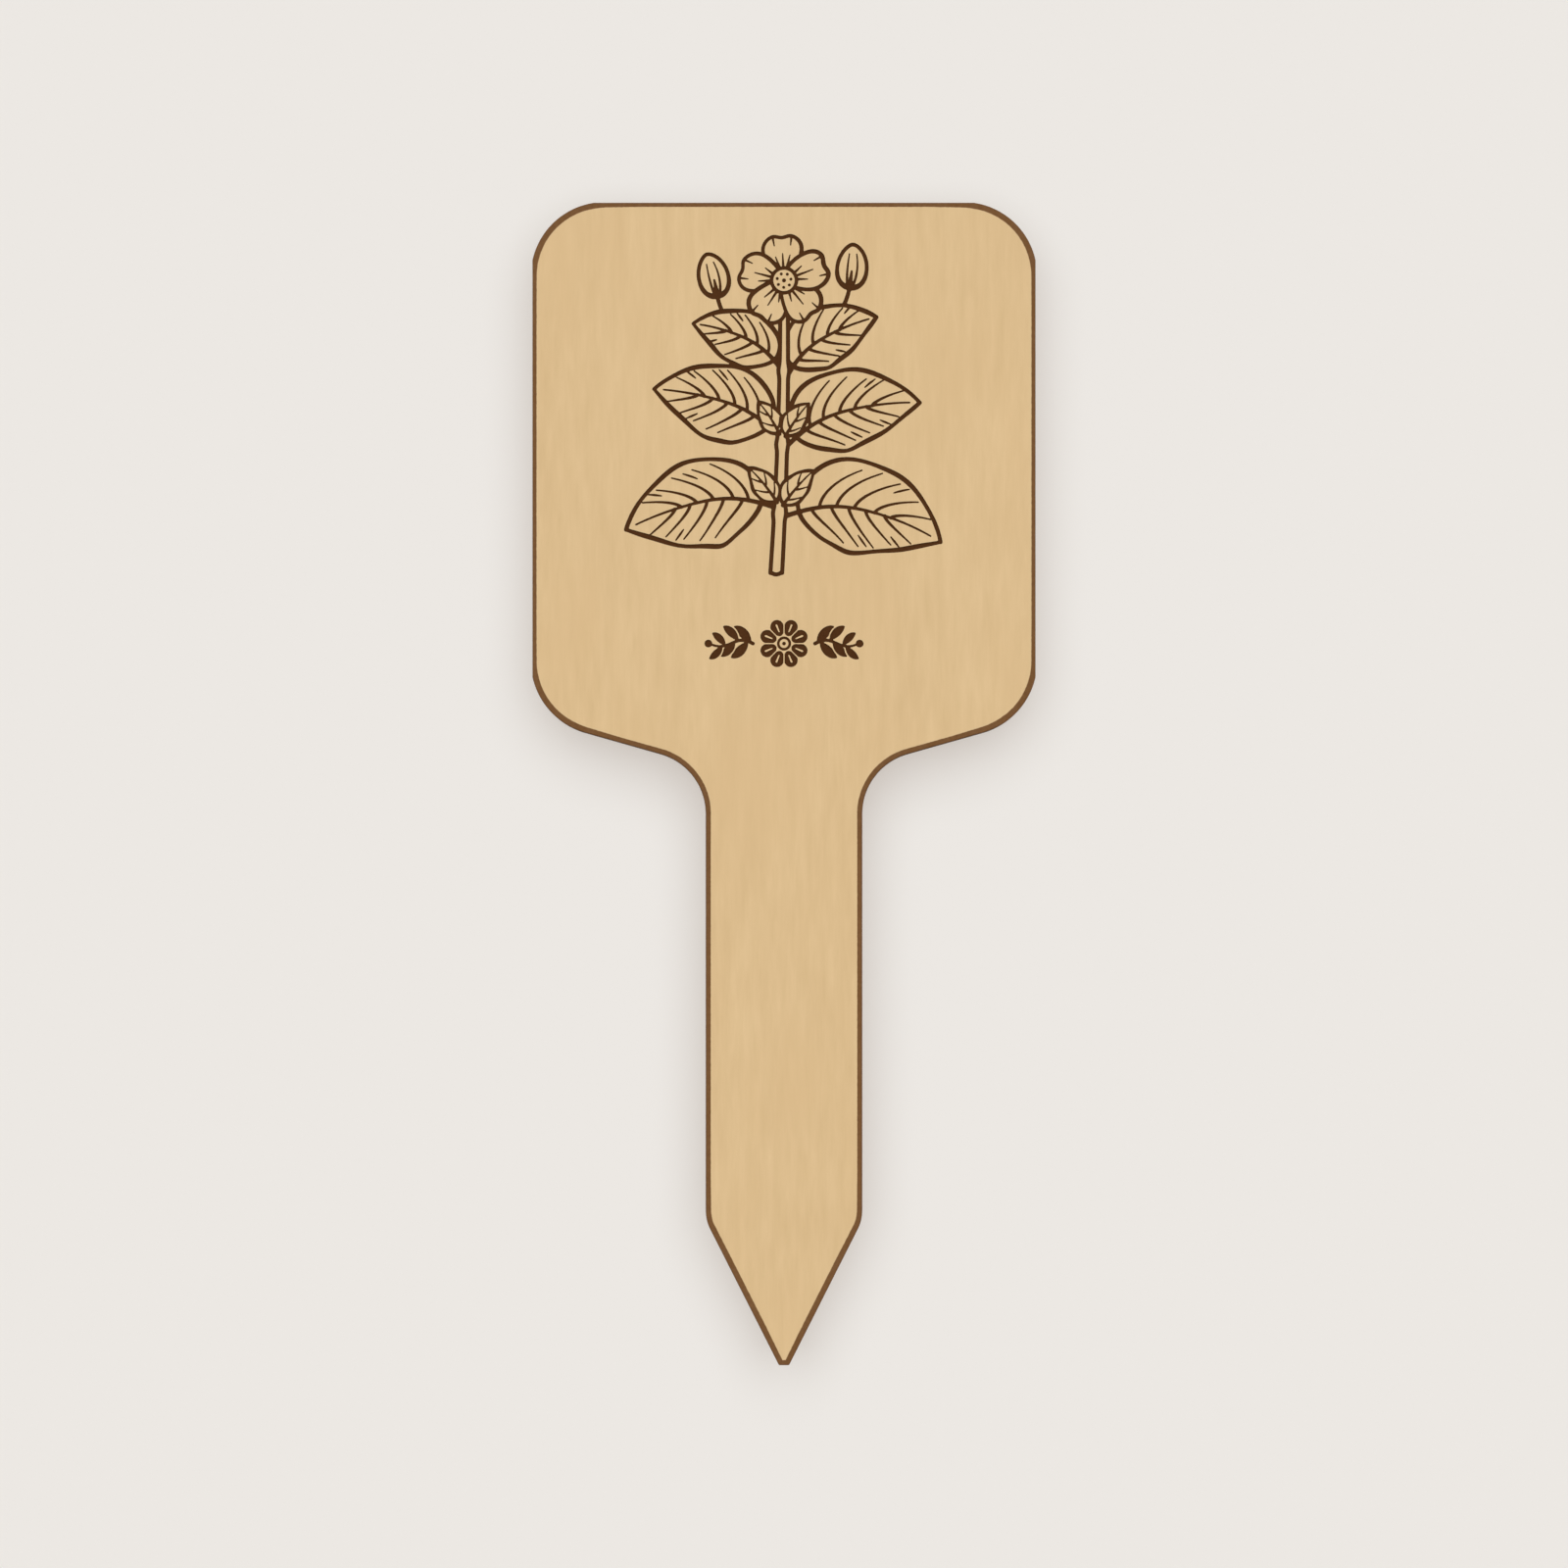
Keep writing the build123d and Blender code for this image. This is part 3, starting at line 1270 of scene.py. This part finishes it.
def veneer_finish(name, tones, band_tones, place, band_edge, band_softness):
    """A sanded veneer with a scorched band along its edge and a charred cut wall."""
    material, tree = new_material(name)
    wood, pores, streaks = veneer_colour(tree, place, tones)
    mottle = speckle(tree, scorch_mottle, scorch_mottle_place)
    band = scorched_band(tree, mottle, band_edge, band_softness)
    shade = blend_colours(tree, band, wood, colour_steps(tree, mottle, band_tones))
    wall = between(tree, squareness(tree), *wall_facing, first=1.0, last=0.0)
    burns = speckle(tree, wall_burns, veneer_burns_place)
    shade = blend_colours(tree, wall, shade, colour_steps(tree, burns, veneer_wall_tones))
    roughness = between(tree, streaks, *rough_steps, *veneer_roughness)
    normal = relief(tree, pores, *pore_bump)
    normal = relief(tree, burns, *veneer_burn_bump, under=normal)
    finish_surface(tree, shade, roughness, normal, veneer_specular)
    return material


def engraved_finish():
    """The burnt floor and walls of the engraving: dark brown, in fine level rows as the laser passes."""
    material, tree = new_material("engraved_char")
    spots = speckle(tree, floor_spots)
    patches = speckle(tree, floor_patches, floor_patches_place)
    shade = colour_steps(tree, weighed(tree, (spots, patches), floor_shares), engraved_tones)
    rows = speckle(tree, laser_rows, laser_rows_place, row_detail)
    roughness = between(tree, spots, *rough_steps, *floor_roughness)
    finish_surface(tree, shade, roughness, relief(tree, rows, *row_bump), engraved_specular)
    return material


def charred_finish(name, tones, place, roughness):
    """A charred cut wall: fine burns that run through the sheet, over soft spots."""
    material, tree = new_material(name)
    burns = speckle(tree, wall_burns, place)
    spots = speckle(tree, wall_spots, place)
    shade = colour_steps(tree, weighed(tree, (burns, spots), wall_shares), tones, wall_steps)
    least = roughness - wall_roughness_swing
    most = roughness + wall_roughness_swing
    rough = between(tree, spots, *wall_rough_steps, least, most)
    finish_surface(tree, shade, rough, relief(tree, burns, *burn_bump), charred_specular)
    return material


face_finish = veneer_finish(
    "scorched_face_veneer",
    face_tones,
    front_band_tones,
    place=(0, 0, 0),
    band_edge=1.0,
    band_softness=0.05,
)
back_finish = veneer_finish(
    "scorched_back_veneer",
    back_tones,
    back_band_tones,
    place=(11, 4, 7),
    band_edge=0.55,
    band_softness=0.22,
)
front_veneer = make_front_veneer(face_finish, engraved_finish())
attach(front_veneer, "root")
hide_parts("front_veneer")
back_veneer = make_back_veneer(back_finish)
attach(back_veneer, "root")
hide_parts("back_veneer")
# The ground is so close behind that the back would throw the fill lamps' light into its own shadow there
back_veneer.visible_diffuse = False

core_finish = charred_finish("charred_core_ply", core_tones, place=(0, 0, 0), roughness=0.75)
glue_finish = charred_finish("charred_glue_film", glue_tones, place=(4, 0, 9), roughness=0.6)
cad_finishes = {"core_ply": core_finish, "front_glue_line": glue_finish, "back_glue_line": glue_finish}
for name, finish in cad_finishes.items():
    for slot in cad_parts[name].material_slots:
        slot.material = finish

# The ground behind the stake, in metres
ground_gap = 0.0055
floor_depth = 0.060
sweep_radius = 0.025
sweep_steps = 16
ground_half_width = 2.0
ground_height = 1.6
floor_length = 1.6
ground_colour = colour(236, 232, 227)
# The share of each colour's light that its shadow takes away, where it faces the camera this squarely
ground_shadow_share = (0.395, 0.445, 0.48)
least_facing = 0.97

# The lamps: soft ones, a little above the level, of which the fills stand behind on both sides
lamp_tilt = np.radians(13)
lamp_size = np.radians(80)
key_strength = 3.02
fill_turn = np.radians(45)
fill_strength = 2.0
world_strength = 0.06

# The camera's lens and sensor in millimetres, and how wide its picture is at the stake, in metres
camera_lens = 100.0
camera_sensor = 36.0
picture_width = 0.20263


def ground_finish():
    """The pale ground: it glows by itself but for the share of each colour that its shadow takes away.

    Below the upright wall it has no such share, and from behind the ground is clear."""
    pale = np.array(ground_colour[:3])
    share = np.array(ground_shadow_share)
    material, tree = new_material("pale_ground")
    upright = between(tree, squareness(tree), least_facing, 1.0)
    lit = add(tree, "BsdfDiffuse", {"Color": (*pale * share, 1.0)}).outputs["BSDF"]
    glow = add(tree, "Emission", {"Color": (*pale * (1 - share), 1.0)}).outputs["Emission"]
    shadowed = add(tree, "AddShader", {0: lit, 1: glow}).outputs["Shader"]
    plain = add(tree, "Emission", {"Color": ground_colour}).outputs["Emission"]
    front = add(tree, "MixShader", {0: upright, 1: plain, 2: shadowed}).outputs["Shader"]
    clear = add(tree, "BsdfTransparent").outputs["BSDF"]
    behind = add(tree, "NewGeometry").outputs["Backfacing"]
    surface = add(tree, "MixShader", {0: behind, 1: front, 2: clear}).outputs["Shader"]
    add(tree, "OutputMaterial", {"Surface": surface})
    return material


def make_ground():
    """A floor that sweeps up by a quarter arc into a wall just behind the stake, carried along x."""
    wall_y = back_high.y + ground_gap
    angle = np.linspace(0, np.pi / 2, sweep_steps + 1)
    ys = np.concatenate([[wall_y - floor_length], wall_y - sweep_radius * (1 - np.sin(angle)), [wall_y]])
    zs = np.concatenate([[0], sweep_radius * (1 - np.cos(angle)), [ground_height]]) - floor_depth
    left = columns(np.full(len(ys), -ground_half_width), ys, zs)
    right = left * [-1, 1, 1]
    here = np.arange(len(ys) - 1)
    quads = columns(here, here + len(ys), here + len(ys) + 1, here + 1)
    mesh = bpy.data.meshes.new("pale_ground")
    mesh.from_pydata(np.vstack([left, right]).tolist(), [], quads.tolist())
    mesh.polygons.foreach_set("use_smooth", np.ones(len(quads), bool))
    mesh.materials.append(ground_finish())
    ground = new_object("pale_ground", mesh)
    ground.visible_shadow = False
    ground.visible_diffuse = False
    ground.visible_glossy = False


def add_sun(name, turn, strength):
    """A soft lamp far away, a little above the level, turned round about z from the front."""
    lamp = bpy.data.lights.new(name, "SUN")
    lamp.angle = lamp_size
    lamp.energy = strength
    new_object(name, lamp).rotation_euler = (np.pi / 2 - lamp_tilt, 0, turn)


def light_world():
    """An even white light from all round. What is seen of the room itself has the ground's pale colour."""
    world = bpy.data.worlds.new("pale_room")
    world.use_nodes = True
    tree = world.node_tree
    tree.nodes.clear()
    path = add(tree, "LightPath")
    seen = maths(tree, "MAXIMUM", path.outputs["Is Camera Ray"], path.outputs["Is Glossy Ray"])
    seen = maths(tree, "MAXIMUM", seen, path.outputs["Is Transmission Ray"])
    light = add(tree, "Background", {"Color": (1, 1, 1, 1), "Strength": world_strength}).outputs[0]
    shown = add(tree, "Background", {"Color": ground_colour, "Strength": 1.0}).outputs[0]
    surface = add(tree, "MixShader", {0: seen, 1: light, 2: shown}).outputs[0]
    add(tree, "OutputWorld", {"Surface": surface})
    bpy.context.scene.world = world


def add_camera():
    """The camera, square on to the front face, as far off as its picture's width times lens over sensor."""
    lens = bpy.data.cameras.new("camera")
    lens.lens = camera_lens
    lens.sensor_width = camera_sensor
    camera = new_object("camera", lens)
    away = picture_width * camera_lens / camera_sensor
    camera.location = (0, -away, overall_length / 2 * MM)
    camera.rotation_euler = (np.pi / 2, 0, 0)
    bpy.context.scene.camera = camera


make_ground()
add_sun("key_light", 0, key_strength)
add_sun("right_fill", np.pi - fill_turn, fill_strength)
add_sun("left_fill", np.pi + fill_turn, fill_strength)
light_world()
add_camera()
bpy.context.scene.view_settings.view_transform = "Standard"
